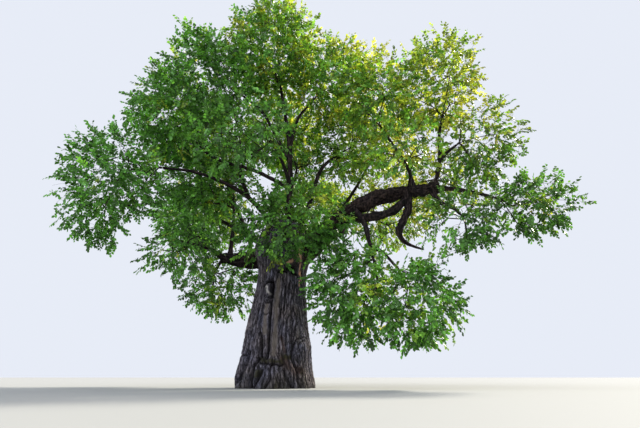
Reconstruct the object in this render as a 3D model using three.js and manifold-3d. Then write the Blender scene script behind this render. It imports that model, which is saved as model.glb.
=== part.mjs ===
// A very old elm, about 13 m tall and 15 m across: a short hollow trunk, the boughs that
// rise and droop from its head, and the masses of leaves that they carry.
// Millimetres, +Z up. The origin is the middle of the flat cut at ground level. The elm is
// looked at from -Y, so +X is its right and +Y its back.
import * as THREE from 'three';
import Module from 'manifold-3d';

const wasm = await Module();
wasm.setup();
const { Manifold, Mesh } = wasm;

// The trunk: [height, radius] up its outline, from the cut at the ground to the closed head.
const TRUNK_OUTLINE = [
  [0, 1065], [300, 1040], [700, 990], [1200, 925], [1750, 860], [2250, 782], [2750, 724],
  [3250, 706], [3650, 770], [4000, 835], [4300, 805], [4600, 660], [4850, 430], [4950, 240],
];
const TRUNK_SIDES = 32;
const LEAN = { from: 1400, to: 3700, shift: 150 }; // the trunk leans to the right between these heights

// Root buttresses, [compass angle, reach at the ground, half width in degrees]. They die
// away with height over ROOT_RISE.
const ROOTS = [
  [212, 140, 14], [251, 120, 12], [284, 90, 16], [322, 110, 16], [8, 90, 18], [58, 180, 20],
  [108, 130, 18], [152, 120, 19],
];
const ROOT_RISE = 620;
const FLUTES = 7; // shallow ribs that run up the trunk
const FLUTE_DEPTH = 24;

// The hollow on the front, and the seam below it that runs down to the foot.
const HOLLOW = { angle: 252, height: 2650, halfWidth: 9, halfHeight: 320, depth: 170 };
const SEAM = { angle: 260, low: 300, high: 2600, halfWidth: 6, depth: 75 };

// Limbs: where each leaves its parent, the places that it passes, its tip, and its radius
// at both ends. "from" is a place inside the trunk, and "at" a share of the run of "on".
const LIMBS = [
  { name: 'leader', from: [190, 20, 4300], via: [[300, 0, 6100], [260, 0, 7700]],
    tip: [-60, 0, 9700], base: 112, end: 48 },
  { name: 'leader_right', on: 'leader', at: 0.62, via: [[520, 180, 8650]],
    tip: [980, 500, 9500], base: 62, end: 38 },
  { name: 'leader_left', on: 'leader', at: 0.52, via: [[-150, -60, 7850], [-690, -150, 8800]],
    tip: [-1250, -250, 9250], base: 62, end: 38 },
  { name: 'left_high', on: 'leader', at: 0.33, via: [[-850, -80, 6650], [-2100, -100, 7050]],
    tip: [-2700, -150, 7500], base: 72, end: 40 },
  { name: 'left_diagonal', from: [-150, -300, 4250],
    via: [[-420, -700, 4980], [-1180, -1000, 5640], [-2360, -1450, 6020]],
    tip: [-3300, -1700, 6060], base: 88, end: 36 },
  { name: 'left_front', on: 'left_diagonal', at: 0.42, via: [[-1050, -1450, 5900]],
    tip: [-920, -1950, 6080], base: 62, end: 40 },
  { name: 'centre', on: 'leader', at: 0.3, via: [[420, 330, 6450]],
    tip: [480, 600, 6950], base: 54, end: 38 },
  { name: 'left_stub', from: [-250, 0, 3780], via: [[-1100, -20, 3720]],
    tip: [-1780, -30, 3800], base: 230, end: 150 },
  { name: 'left_stub_shoot', on: 'left_stub', at: 0.78, via: [[-1480, 120, 4500]],
    tip: [-1530, 420, 5450], base: 76, end: 44 },
  { name: 'left_low', on: 'left_stub', at: 0.95, via: [[-2200, -200, 4080]],
    tip: [-2650, -400, 4130], base: 80, end: 42 },
  { name: 'left_weeping', on: 'left_stub', at: 0.86, via: [[-1850, 420, 3750]],
    tip: [-2050, 650, 3500], base: 66, end: 40 },
  { name: 'right_limb', from: [300, -120, 3700],
    via: [[1250, -350, 4150], [2300, -760, 5160], [3700, -1000, 5560]],
    tip: [4900, -1000, 5730], base: 320, end: 135 },
  { name: 'right_limb_strand', on: 'right_limb', at: 0.42,
    via: [[2650, -950, 4760], [3250, -1050, 4880]],
    tip: [3950, -1020, 5400], base: 115, end: 120 },
  { name: 'right_far', on: 'right_limb', at: 0.95, via: [[5500, -1000, 5640]],
    tip: [6500, -1000, 5400], base: 84, end: 44 },
  { name: 'right_front', on: 'right_limb', at: 0.8, via: [[3950, -1400, 6050]],
    tip: [3880, -1620, 6250], base: 50, end: 36 },
  { name: 'right_low', on: 'right_limb', at: 0.93, via: [[4850, -1150, 5160], [5180, -1230, 4980]],
    tip: [5350, -1340, 4740], base: 86, end: 42 },
  { name: 'right_up', on: 'right_limb', at: 0.97, via: [[4960, -980, 6700], [5020, -950, 7500]],
    tip: [5180, -850, 8150], base: 66, end: 42 },
  { name: 'right_side', on: 'right_up', at: 0.3, via: [[5250, -900, 6950]],
    tip: [5600, -800, 7250], base: 52, end: 36 },
  { name: 'right_back', on: 'right_limb', at: 0.9, via: [[4850, -500, 6150]],
    tip: [5050, 150, 6450], base: 62, end: 38 },
  { name: 'right_inner', on: 'right_limb', at: 0.84, via: [[3950, -850, 6500], [3550, -650, 7400]],
    tip: [3250, -450, 8050], base: 56, end: 38 },
  { name: 'right_upright', from: [400, 300, 4300], via: [[900, 420, 5600], [1280, 500, 6900]],
    tip: [1750, 1000, 7600], base: 100, end: 44 },
  { name: 'hook_upper', on: 'right_limb', at: 0.78, via: [[3890, -1060, 5020], [3770, -1100, 4740]],
    tip: [3590, -1110, 4430], base: 130, end: 98 },
  { name: 'hook_lower', on: 'hook_upper', at: 1, via: [[3585, -1120, 4170], [3800, -1120, 3950]],
    tip: [4260, -1120, 3760], base: 96, end: 26 },
  { name: 'right_weeping', on: 'right_limb', at: 0.5, via: [[2550, -1350, 4450], [2650, -1700, 3850]],
    tip: [2700, -1850, 3450], base: 92, end: 46 },
  { name: 'right_weeping_tip', on: 'right_weeping', at: 0.75, via: [[3000, -1950, 3450]],
    tip: [3300, -2100, 3050], base: 54, end: 36 },
  { name: 'front_spur', from: [100, -400, 4150], via: [[250, -900, 4380]],
    tip: [330, -1080, 4430], base: 90, end: 48 },
  { name: 'back_left', from: [-250, 300, 4150], via: [[-1300, 1500, 5000]],
    tip: [-2500, 2800, 5900], base: 150, end: 52 },
  { name: 'back_left_high', on: 'back_left', at: 0.45, via: [[-1900, 1950, 6500]],
    tip: [-2350, 2200, 7700], base: 72, end: 40 },
  { name: 'back_middle', from: [50, 400, 4150], via: [[150, 2000, 5100]],
    tip: [250, 3500, 5900], base: 150, end: 52 },
  { name: 'back_high', on: 'leader', at: 0.36, via: [[0, 900, 7300]],
    tip: [-350, 1850, 8300], base: 72, end: 40 },
  { name: 'back_right', from: [350, 280, 4150], via: [[1500, 1300, 5000]],
    tip: [2850, 2500, 5900], base: 150, end: 52 },
  { name: 'back_right_high', on: 'back_right', at: 0.5, via: [[2500, 2000, 6700]],
    tip: [3250, 2550, 8200], base: 72, end: 40 },
];
const THICK_LIMB = 95; // a limb with this base radius or more has the finer section
const LIMB_SIDES = { thick: 8, thin: 6 };
const RING_SPACING = { thick: 600, thin: 900 };
const TAPER_POWER = 1.15;

// Masses of leaves: the limb that carries each, its middle, and its half sizes outward from
// the trunk, across that, and up.
const MASSES = [
  { name: 'top_leaves', on: 'leader', middle: [-340, 0, 11200], half: [1750, 2300, 1600] },
  { name: 'top_right_leaves', on: 'leader_right', middle: [1740, 100, 9950], half: [1460, 2150, 1360] },
  { name: 'top_left_leaves', on: 'leader_left', middle: [-2600, -900, 9480], half: [1590, 2300, 1350] },
  { name: 'left_high_leaves', on: 'left_high', middle: [-3390, -800, 8160], half: [1440, 2250, 1300] },
  { name: 'left_tip_leaves', on: 'left_diagonal', middle: [-4600, -1850, 5420], half: [1500, 1600, 1600] },
  { name: 'left_front_leaves', on: 'left_front', middle: [-850, -2900, 6550], half: [1200, 1550, 1100] },
  { name: 'centre_leaves', on: 'centre', middle: [520, 1250, 7750], half: [950, 950, 1050] },
  { name: 'left_inner_leaves', on: 'left_stub_shoot', middle: [-2500, 900, 6600], half: [1550, 1500, 1350] },
  { name: 'left_low_leaves', on: 'left_low', middle: [-2780, -600, 3850], half: [1230, 1350, 1050] },
  { name: 'left_weeping_leaves', on: 'left_weeping', middle: [-1850, 800, 3050], half: [1250, 1300, 1050] },
  { name: 'right_tip_leaves', on: 'right_far', middle: [7450, -1000, 5150], half: [1550, 1400, 950] },
  { name: 'right_front_leaves', on: 'right_front', middle: [3750, -2050, 6650], half: [1300, 850, 800] },
  { name: 'right_hanging_leaves', on: 'right_low', middle: [5250, -1900, 4350], half: [1150, 1000, 1050] },
  { name: 'right_top_leaves', on: 'right_up', middle: [5020, -950, 9280], half: [1450, 2150, 1520] },
  { name: 'right_side_leaves', on: 'right_side', middle: [6300, -850, 7250], half: [1220, 1750, 1320] },
  { name: 'right_back_leaves', on: 'right_back', middle: [5350, 1300, 6900], half: [1400, 1400, 1150] },
  { name: 'right_inner_leaves', on: 'right_inner', middle: [3070, -900, 8900], half: [1200, 2000, 1250] },
  { name: 'middle_leaves', on: 'right_upright', middle: [2300, 1350, 8200], half: [1350, 1450, 1400] },
  { name: 'right_weeping_leaves', on: 'right_weeping', middle: [2150, -1900, 2450], half: [1200, 1250, 1450] },
  { name: 'right_weeping_tip_leaves', on: 'right_weeping_tip',
    middle: [3700, -2200, 2140], half: [1300, 1250, 1250] },
  { name: 'front_leaves', on: 'front_spur', middle: [550, -1950, 4250], half: [1050, 1850, 1200] },
  { name: 'back_left_leaves', on: 'back_left', middle: [-3500, 3800, 6300], half: [1800, 1900, 1450] },
  { name: 'back_left_high_leaves', on: 'back_left_high',
    middle: [-2900, 2600, 9000], half: [1600, 1700, 1400] },
  { name: 'back_middle_leaves', on: 'back_middle', middle: [950, 4900, 6900], half: [1800, 1900, 1500] },
  { name: 'back_high_leaves', on: 'back_high', middle: [-400, 3000, 9500], half: [1600, 1700, 1450] },
  { name: 'back_right_leaves', on: 'back_right', middle: [3900, 3500, 6400], half: [1800, 1850, 1450] },
  { name: 'back_right_high_leaves', on: 'back_right_high',
    middle: [3700, 3000, 9200], half: [1550, 1700, 1450] },
];

// Twigs and leaves of a mass. Each leaf stands for a spray of the real, much smaller leaves.
const MAIN_TWIGS = 6;
const MAIN_TWIG_REACH = 0.56; // share of the mass's half sizes at which the main twigs end
const PATH_WEIGHT = 0.35; // how much a long way back to the stem counts against a joint
const TWIG_TIP_RADIUS = 20;
const PIPE_POWER = 0.5; // a twig's section grows with the number of twigs beyond it
const LEAF = {
  shortest: 600, longest: 1150, width: 0.62, widestAt: 0.42, thickness: 0.045, stalk: 8, rooted: 0.3,
};
const LEAF_DROOP = 0.22;
const LEAF_TILT = 1.3; // how far the leaves of a twig lean over, as a slope
// The side leaves of a main twig: where they stand along it, and the degrees they turn from it.
const SIDE_LEAVES = [[0.62, 66], [0.84, -66]];

// Clearances between neighbouring solids.
const TOUCH_GAP = 0.3;
const LIMB_CLEARANCE = 30;
const SPACE_MARGIN = 0.035; // share of a mass's half size that stays free towards the next
const CHECKS = 5; // places tested along a twig

const WOOD = new THREE.MeshStandardMaterial({ color: 0x5a5048, roughness: 0.95, metalness: 0 });
const FOLIAGE = new THREE.MeshStandardMaterial({ color: 0x4c7f2c, roughness: 0.6, metalness: 0 });

const RAD = Math.PI / 180;
const UP = new THREE.Vector3(0, 0, 1);
const vec = (p) => new THREE.Vector3(...p);

// Random numbers from 0 to 1, the same in every run.
function seeded(seed) {
  let state = seed;
  return () => {
    state = (state * 16807) % 2147483647;
    return state / 2147483647;
  };
}

// Solid of a list of rings, each with as many corners, closed by a flat cap at the start and
// by another at the end, or by a tip.
function loft(rings, tip) {
  const sides = rings[0].length;
  const corners = [...rings.flat(), ...(tip ? [tip] : [])].flatMap((p) => [p.x, p.y, p.z]);
  const faces = [];
  for (let ring = 0; ring + 1 < rings.length; ring += 1) {
    for (let side = 0; side < sides; side += 1) {
      const a = ring * sides + side;
      const b = ring * sides + ((side + 1) % sides);
      faces.push(a, b, b + sides, a, b + sides, a + sides);
    }
  }
  const last = (rings.length - 1) * sides;
  for (let side = 1; side + 1 < sides; side += 1) {
    faces.push(0, side + 1, side);
    if (!tip) faces.push(last, last + side, last + side + 1);
  }
  for (let side = 0; tip && side < sides; side += 1) {
    faces.push(last + side, last + ((side + 1) % sides), last + sides);
  }
  return new Manifold(new Mesh({
    numProp: 3,
    vertProperties: Float32Array.from(corners),
    triVerts: Uint32Array.from(faces),
  }));
}

// The largest piece of a solid, without loose scraps or sealed hollows.
function largest(made) {
  const pieces = made.decompose();
  return pieces.reduce((best, piece) => (piece.volume() > best.volume() ? piece : best));
}

// Degrees between two compass angles, from 0 to 180.
function turnBetween(a, b) {
  const turn = Math.abs(a - b) % 360;
  return Math.min(turn, 360 - turn);
}

function trunkRadius(angle, height, plain) {
  let radius = plain;
  for (const [rootAngle, reach, halfWidth] of ROOTS) {
    const away = turnBetween(angle, rootAngle) / halfWidth;
    radius += reach * Math.exp(-away * away - height / ROOT_RISE);
  }
  radius += FLUTE_DEPTH * Math.cos(FLUTES * angle * RAD);
  if (height > SEAM.low && height < SEAM.high) {
    const away = turnBetween(angle, SEAM.angle) / SEAM.halfWidth;
    radius -= SEAM.depth * Math.exp(-away * away);
  }
  const across = turnBetween(angle, HOLLOW.angle) / HOLLOW.halfWidth;
  const along = (height - HOLLOW.height) / HOLLOW.halfHeight;
  return radius - HOLLOW.depth * Math.exp(-across * across - along * along);
}

function trunkSolid(extra) {
  return loft(TRUNK_OUTLINE.map(([height, plain], row) => {
    const lift = row === TRUNK_OUTLINE.length - 1 ? extra : 0;
    const lean = LEAN.shift * Math.min(1, Math.max(0, (height - LEAN.from) / (LEAN.to - LEAN.from)));
    return Array.from({ length: TRUNK_SIDES }, (_, side) => {
      const angle = (side * 360) / TRUNK_SIDES;
      const radius = trunkRadius(angle, height, plain) + extra;
      return new THREE.Vector3(
        lean + radius * Math.cos(angle * RAD), radius * Math.sin(angle * RAD), height + lift);
    });
  }));
}

// Rings round a curve, carried along it without twisting.
function ringsAlong(curve, count, sides, radiusAt, extra) {
  const rings = [];
  let across = null;
  for (let i = 0; i <= count; i += 1) {
    const share = i / count;
    const heading = curve.getTangent(share);
    const middle = curve.getPoint(share);
    if (i === count) middle.addScaledVector(heading, extra);
    across ??= new THREE.Vector3().crossVectors(heading, Math.abs(heading.z) < 0.9 ? UP : vec([1, 0, 0]));
    across.addScaledVector(heading, -across.dot(heading)).normalize();
    const side = new THREE.Vector3().crossVectors(heading, across);
    rings.push(Array.from({ length: sides }, (_, k) => {
      const turn = (k * 2 * Math.PI) / sides;
      return middle.clone()
        .addScaledVector(across, (radiusAt(share) + extra) * Math.cos(turn))
        .addScaledVector(side, (radiusAt(share) + extra) * Math.sin(turn));
    }));
  }
  return rings;
}

// Each limb with its curve and its radius, in the order of the table.
function limbsOf() {
  const grown = new Map();
  for (const row of LIMBS) {
    const start = row.from ? vec(row.from) : grown.get(row.on).curve.getPoint(row.at);
    const curve = new THREE.CatmullRomCurve3(
      [start, ...row.via.map(vec), vec(row.tip)], false, 'catmullrom', 0.5);
    const radiusAt = (share) => row.end + (row.base - row.end) * (1 - share) ** TAPER_POWER;
    grown.set(row.name, { ...row, curve, radiusAt, length: curve.getLength() });
  }
  return grown;
}

function limbSolid(limb, extra) {
  const grade = limb.base >= THICK_LIMB ? 'thick' : 'thin';
  const count = Math.max(3, Math.ceil(limb.length / RING_SPACING[grade]));
  return loft(ringsAlong(limb.curve, count, LIMB_SIDES[grade], limb.radiusAt, extra));
}

// The axes of a mass: outward from the trunk, across that, and up.
function axesOf(mass) {
  const outward = vec([mass.middle[0], mass.middle[1], 0]).normalize();
  return [outward, new THREE.Vector3().crossVectors(UP, outward), UP];
}

// How far a place is from a mass's middle, as a share of the mass's half sizes.
function shareOut(mass, place) {
  const away = place.clone().sub(vec(mass.middle));
  return Math.hypot(...axesOf(mass).map((axis, i) => away.dot(axis) / mass.half[i]));
}

// Whether a place is in a mass's own space: inside it, and not nearer to another mass.
function inOwnSpace(mass, place) {
  const own = shareOut(mass, place);
  return own <= 1.02
    && MASSES.every((other) => other === mass || shareOut(other, place) > own + SPACE_MARGIN);
}

// Places where the main twigs of a mass end, spread round it on a spiral that starts
// straight away from the stem.
function mainTwigPlaces(mass, foot) {
  const pole = vec(mass.middle).sub(foot).normalize();
  const east = new THREE.Vector3().crossVectors(Math.abs(pole.z) < 0.9 ? UP : vec([1, 0, 0]), pole).normalize();
  const north = new THREE.Vector3().crossVectors(pole, east);
  const golden = Math.PI * (3 - Math.sqrt(5));
  return Array.from({ length: MAIN_TWIGS }, (_, k) => {
    const along = 1 - (2 * k) / MAIN_TWIGS;
    const out = Math.sqrt(1 - along * along);
    const turned = pole.clone().multiplyScalar(along)
      .addScaledVector(east, out * Math.cos(golden * k + mass.turn))
      .addScaledVector(north, out * Math.sin(golden * k + mass.turn));
    const place = vec(mass.middle);
    axesOf(mass).forEach((axis, i) => {
      place.addScaledVector(axis, turned.dot(axis) * mass.half[i] * MAIN_TWIG_REACH);
    });
    return place;
  });
}

// Joins each place, the nearest to the stem first, to the twig that gives the shortest way.
function joinTwigs(foot, heading, lead, places) {
  const twigs = [
    { place: foot, parent: -1, path: 0, beyond: 0 },
    { place: foot.clone().addScaledVector(heading, lead), parent: 0, path: lead, beyond: 0 },
  ];
  const inOrder = [...places].sort((a, b) => a.distanceTo(foot) - b.distanceTo(foot));
  for (const place of inOrder) {
    let best = 1;
    let least = Infinity;
    for (let i = 1; i < twigs.length; i += 1) {
      const cost = place.distanceTo(twigs[i].place) + PATH_WEIGHT * twigs[i].path;
      if (cost < least) [best, least] = [i, cost];
    }
    twigs.push({
      place, parent: best, beyond: 0,
      path: twigs[best].path + place.distanceTo(twigs[best].place),
    });
  }
  for (let i = twigs.length - 1; i > 0; i -= 1) {
    twigs[i].beyond += 1;
    twigs[twigs[i].parent].beyond += twigs[i].beyond;
  }
  return twigs;
}

// Three corners round a place, the first of them towards normal.
function threeRound(place, heading, normal, radius) {
  return [0, 120, 240].map((turn) => place.clone()
    .addScaledVector(normal.clone().applyAxisAngle(heading, turn * RAD), radius));
}

// A leaf: the narrow section at its foot, the widest one, a flat underside with a ridge on
// top, and its tip.
function bladeOf(root, heading, normal, length) {
  const across = new THREE.Vector3().crossVectors(heading, normal);
  const middle = root.clone().addScaledVector(heading, LEAF.widestAt * length);
  const side = (share) => middle.clone().addScaledVector(across, (share * LEAF.width * length) / 2);
  const ridge = middle.clone().addScaledVector(normal, LEAF.thickness * length);
  const tip = root.clone().addScaledVector(heading, length);
  const narrow = threeRound(root, heading, normal, LEAF.stalk);
  return { root, narrow, widest: [ridge, side(1), side(-1)], tip };
}

// Whether a leaf stays in its mass's own space, off the bark, and off all that is made so
// far but the twig at its foot.
function hasRoom(mass, blade, made, bark) {
  const midway = blade.widest.map((corner) => corner.clone().lerp(blade.tip, 0.5));
  if (![...blade.widest, ...midway, blade.tip].every((place) => inOwnSpace(mass, place))) return false;
  const start = blade.narrow.map((corner, i) => corner.clone().lerp(blade.widest[i], LEAF.rooted));
  return bark.intersect(leafSolid(blade)).isEmpty()
    && made.intersect(loft([start, blade.widest], blade.tip)).isEmpty();
}

function leafSolid(blade) {
  return loft([blade.narrow, blade.widest], blade.tip);
}

// The longest leaf that has room, or undefined.
function leafWithRoom(mass, root, heading, normal, made, bark) {
  for (let length = LEAF.longest; length >= LEAF.shortest; length *= 0.9) {
    const blade = bladeOf(root, heading, normal, length);
    if (hasRoom(mass, blade, made, bark)) return blade;
  }
  return undefined;
}

// The way a twig's leaves point, outward and a little down, and the way that they face.
function leafPose(mass, twig, run, draw) {
  const outward = twig.place.clone().sub(vec(mass.middle)).normalize();
  const heading = run.clone().addScaledVector(outward, 1.6).addScaledVector(UP, -LEAF_DROOP).normalize();
  const tilt = draw() * 360 * RAD;
  const normal = UP.clone().addScaledVector(vec([Math.cos(tilt), Math.sin(tilt), 0]), LEAF_TILT);
  if (Math.abs(heading.z) > 0.85) normal.set(Math.cos(tilt), Math.sin(tilt), 0.2);
  normal.addScaledVector(heading, -normal.dot(heading)).normalize();
  return { heading, normal };
}

// One mass as a single solid: its stem, the main twigs that branch from it, and their leaves.
function massSolid(mass, limb, bark) {
  const draw = seeded(mass.seed);
  const stemWay = limb.curve.getTangent(1);
  const foot = limb.curve.getPoint(1).addScaledVector(stemWay, TOUCH_GAP);
  const level = new THREE.Vector3(stemWay.y, -stemWay.x, 0).normalize();
  const twigs = joinTwigs(foot, stemWay, limb.end * 2, mainTwigPlaces(mass, foot));
  const radiusOf = (twig) => Math.min(limb.end * 0.9, TWIG_TIP_RADIUS * (twig.beyond + 1) ** PIPE_POWER);
  let made = loft([
    threeRound(foot, stemWay, level, limb.end * 0.9),
    threeRound(twigs[1].place, stemWay, level, radiusOf(twigs[1])),
  ]);
  const kept = new Set([0, 1]);
  const sides = [];
  twigs.forEach((twig, i) => {
    if (i < 2 || !kept.has(twig.parent)) return;
    const from = twigs[twig.parent].place;
    const radius = radiusOf(twig);
    const run = twig.place.clone().sub(from).normalize();
    const { heading, normal } = leafPose(mass, twig, run, draw);
    const over = normal.clone().addScaledVector(run, -normal.dot(run)).normalize();
    const rings = [
      threeRound(from, run, over, radius * 1.1),
      threeRound(twig.place, run, over, radius),
    ];
    const passed = Array.from({ length: CHECKS }, (_, k) => from.clone().lerp(twig.place, (k + 1) / CHECKS));
    const strays = passed.some((place) => place.distanceTo(foot) > 3 * limb.end && !inOwnSpace(mass, place));
    if (strays || !bark.intersect(loft(rings)).isEmpty()) return;
    kept.add(i);
    const end = leafWithRoom(mass, twig.place, heading, normal, made, bark);
    made = made.add(end ? loft([...rings, end.widest], end.tip) : loft(rings));
    for (const [share, turn] of SIDE_LEAVES) {
      const root = from.clone().lerp(twig.place, share);
      sides.push({ root, heading: heading.clone().applyAxisAngle(normal, turn * RAD), normal });
    }
  });
  for (const side of sides) {
    const blade = leafWithRoom(mass, side.root, side.heading, side.normal, made, bark);
    if (blade) made = made.add(leafSolid(blade));
  }
  return largest(made);
}

function meshOf(name, made, material) {
  const { vertProperties, triVerts } = made.getMesh();
  const geometry = new THREE.BufferGeometry();
  geometry.setAttribute('position', new THREE.BufferAttribute(new Float32Array(vertProperties), 3));
  geometry.setIndex(new THREE.BufferAttribute(new Uint32Array(triVerts), 1));
  const mesh = new THREE.Mesh(geometry, material);
  mesh.name = name;
  return mesh;
}

const elm = new THREE.Group();
elm.add(meshOf('trunk', trunkSolid(0), WOOD));

// Each limb is cut back by the trunk and the limbs before it, swollen by the gap.
const limbs = limbsOf();
const cutters = [trunkSolid(TOUCH_GAP)];
for (const limb of limbs.values()) {
  const made = cutters.reduce((cut, cutter) => cut.subtract(cutter), limbSolid(limb, 0));
  elm.add(meshOf(limb.name, largest(made), WOOD));
  cutters.push(limbSolid(limb, TOUCH_GAP));
}

// The masses keep clear of the bark by LIMB_CLEARANCE.
const bark = Manifold.union([trunkSolid(LIMB_CLEARANCE)]
  .concat([...limbs.values()].map((limb) => limbSolid(limb, LIMB_CLEARANCE))));
MASSES.forEach((mass, i) => {
  mass.seed = 101 + 37 * i;
  mass.turn = i * 1.7;
  elm.add(meshOf(mass.name, massSolid(mass, limbs.get(mass.on), bark), FOLIAGE));
});

export default elm;
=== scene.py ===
"""A very old elm in full summer leaf. Metres, +Z up, seen from -Y, foot of the trunk at the origin."""
import math
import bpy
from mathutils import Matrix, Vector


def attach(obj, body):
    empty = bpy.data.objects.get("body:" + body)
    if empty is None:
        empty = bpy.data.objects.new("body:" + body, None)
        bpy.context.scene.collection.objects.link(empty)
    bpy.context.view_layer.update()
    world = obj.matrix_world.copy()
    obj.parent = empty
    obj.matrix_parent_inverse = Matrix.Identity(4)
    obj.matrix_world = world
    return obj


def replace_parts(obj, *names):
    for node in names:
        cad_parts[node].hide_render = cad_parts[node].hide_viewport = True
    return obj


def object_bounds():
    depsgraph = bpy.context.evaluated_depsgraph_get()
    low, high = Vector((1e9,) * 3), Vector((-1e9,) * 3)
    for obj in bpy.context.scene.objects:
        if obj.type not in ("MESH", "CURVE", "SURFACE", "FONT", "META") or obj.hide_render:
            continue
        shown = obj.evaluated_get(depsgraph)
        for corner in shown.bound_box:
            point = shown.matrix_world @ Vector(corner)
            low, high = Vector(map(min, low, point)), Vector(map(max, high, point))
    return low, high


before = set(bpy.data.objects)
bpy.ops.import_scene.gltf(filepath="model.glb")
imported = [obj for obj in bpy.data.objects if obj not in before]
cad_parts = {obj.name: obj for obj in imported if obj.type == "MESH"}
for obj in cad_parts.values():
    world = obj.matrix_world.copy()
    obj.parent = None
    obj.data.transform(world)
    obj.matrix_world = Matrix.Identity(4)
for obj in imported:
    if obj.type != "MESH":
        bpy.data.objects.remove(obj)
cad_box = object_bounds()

from types import SimpleNamespace

import bpy
import numpy as np
from mathutils import Vector
from numpy.linalg import norm

MM = 0.001
UP = np.array([0.0, 0.0, 1.0])
EAST = np.array([1.0, 0.0, 0.0])

# The skeleton, in millimetres as in the part's source.

TRUNK_OUTLINE = [
    (0, 1065), (300, 1040), (700, 990), (1200, 925), (1750, 860), (2250, 782), (2750, 724),
    (3250, 706), (3650, 770), (4000, 835), (4300, 805), (4600, 660), (4850, 430), (4950, 240),
]
LEAN = (1.4, 3.7, 0.15)  # the trunk leans to the right between these heights, by so much
ROOTS = [
    (212, 140, 14), (251, 120, 12), (284, 90, 16), (322, 110, 16), (8, 90, 18), (58, 180, 20),
    (108, 130, 18), (152, 120, 19),
]
ROOT_RISE = 620
FLUTES = 7
FLUTE_DEPTH = 24

# Name, start as a place inside the trunk or as (parent, share), places passed up to the tip,
# and radius at the base and at the end.
LIMBS = [
    ("leader", (190, 20, 4300), [(300, 0, 6100), (260, 0, 7700), (-60, 0, 9700)], 112, 48),
    ("leader_right", ("leader", 0.62), [(520, 180, 8650), (980, 500, 9500)], 62, 38),
    ("leader_left", ("leader", 0.52), [(-150, -60, 7850), (-690, -150, 8800), (-1250, -250, 9250)], 62, 38),
    ("left_high", ("leader", 0.33), [(-850, -80, 6650), (-2100, -100, 7050), (-2700, -150, 7500)], 72, 40),
    ("left_diagonal", (-150, -300, 4250), [(-420, -700, 4980), (-1180, -1000, 5640), (-2360, -1450, 6020),
     (-3300, -1700, 6060)], 88, 36),
    ("left_front", ("left_diagonal", 0.42), [(-1050, -1450, 5900), (-920, -1950, 6080)], 62, 40),
    ("centre", ("leader", 0.3), [(420, 330, 6450), (480, 600, 6950)], 54, 38),
    ("left_stub", (-250, 0, 3780), [(-1100, -20, 3720), (-1780, -30, 3800)], 230, 150),
    ("left_stub_shoot", ("left_stub", 0.78), [(-1480, 120, 4500), (-1530, 420, 5450)], 76, 44),
    ("left_low", ("left_stub", 0.95), [(-2200, -200, 4080), (-2650, -400, 4130)], 80, 42),
    ("left_weeping", ("left_stub", 0.86), [(-1850, 420, 3750), (-2050, 650, 3500)], 66, 40),
    ("right_limb", (300, -120, 3700), [(1250, -350, 4150), (2300, -760, 5160), (3700, -1000, 5560),
     (4900, -1000, 5730)], 320, 135),
    ("right_limb_strand", ("right_limb", 0.42), [(2650, -950, 4760), (3250, -1050, 4880),
     (3950, -1020, 5400)], 115, 120),
    ("right_far", ("right_limb", 0.95), [(5500, -1000, 5640), (6500, -1000, 5400)], 84, 44),
    ("right_front", ("right_limb", 0.8), [(3950, -1400, 6050), (3880, -1620, 6250)], 50, 36),
    ("right_low", ("right_limb", 0.93), [(4850, -1150, 5160), (5180, -1230, 4980),
     (5350, -1340, 4740)], 86, 42),
    ("right_up", ("right_limb", 0.97), [(4960, -980, 6700), (5020, -950, 7500), (5180, -850, 8150)], 66, 42),
    ("right_side", ("right_up", 0.3), [(5250, -900, 6950), (5600, -800, 7250)], 52, 36),
    ("right_back", ("right_limb", 0.9), [(4850, -500, 6150), (5050, 150, 6450)], 62, 38),
    ("right_inner", ("right_limb", 0.84), [(3950, -850, 6500), (3550, -650, 7400),
     (3250, -450, 8050)], 56, 38),
    ("right_upright", (400, 300, 4300), [(900, 420, 5600), (1280, 500, 6900), (1750, 1000, 7600)], 100, 44),
    ("hook_upper", ("right_limb", 0.78), [(3890, -1060, 5020), (3770, -1100, 4740),
     (3590, -1110, 4430)], 130, 98),
    ("hook_lower", ("hook_upper", 1), [(3585, -1120, 4170), (3800, -1120, 3950),
     (4260, -1120, 3760)], 96, 26),
    ("right_weeping", ("right_limb", 0.5), [(2550, -1350, 4450), (2650, -1700, 3850),
     (2700, -1850, 3450)], 92, 46),
    ("right_weeping_tip", ("right_weeping", 0.75), [(3000, -1950, 3450), (3300, -2100, 3050)], 54, 36),
    ("front_spur", (100, -400, 4150), [(250, -900, 4380), (330, -1080, 4430)], 90, 48),
    ("back_left", (-250, 300, 4150), [(-1300, 1500, 5000), (-2500, 2800, 5900)], 150, 52),
    ("back_left_high", ("back_left", 0.45), [(-1900, 1950, 6500), (-2350, 2200, 7700)], 72, 40),
    ("back_middle", (50, 400, 4150), [(150, 2000, 5100), (250, 3500, 5900)], 150, 52),
    ("back_high", ("leader", 0.36), [(0, 900, 7300), (-350, 1850, 8300)], 72, 40),
    ("back_right", (350, 280, 4150), [(1500, 1300, 5000), (2850, 2500, 5900)], 150, 52),
    ("back_right_high", ("back_right", 0.5), [(2500, 2000, 6700), (3250, 2550, 8200)], 72, 40),
]
TAPER_POWER = 1.15
THICK_LIMB = 0.12  # limbs of at least this radius have finer faces
FURROW_GAP = 0.13  # metres between the furrows round a limb

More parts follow.
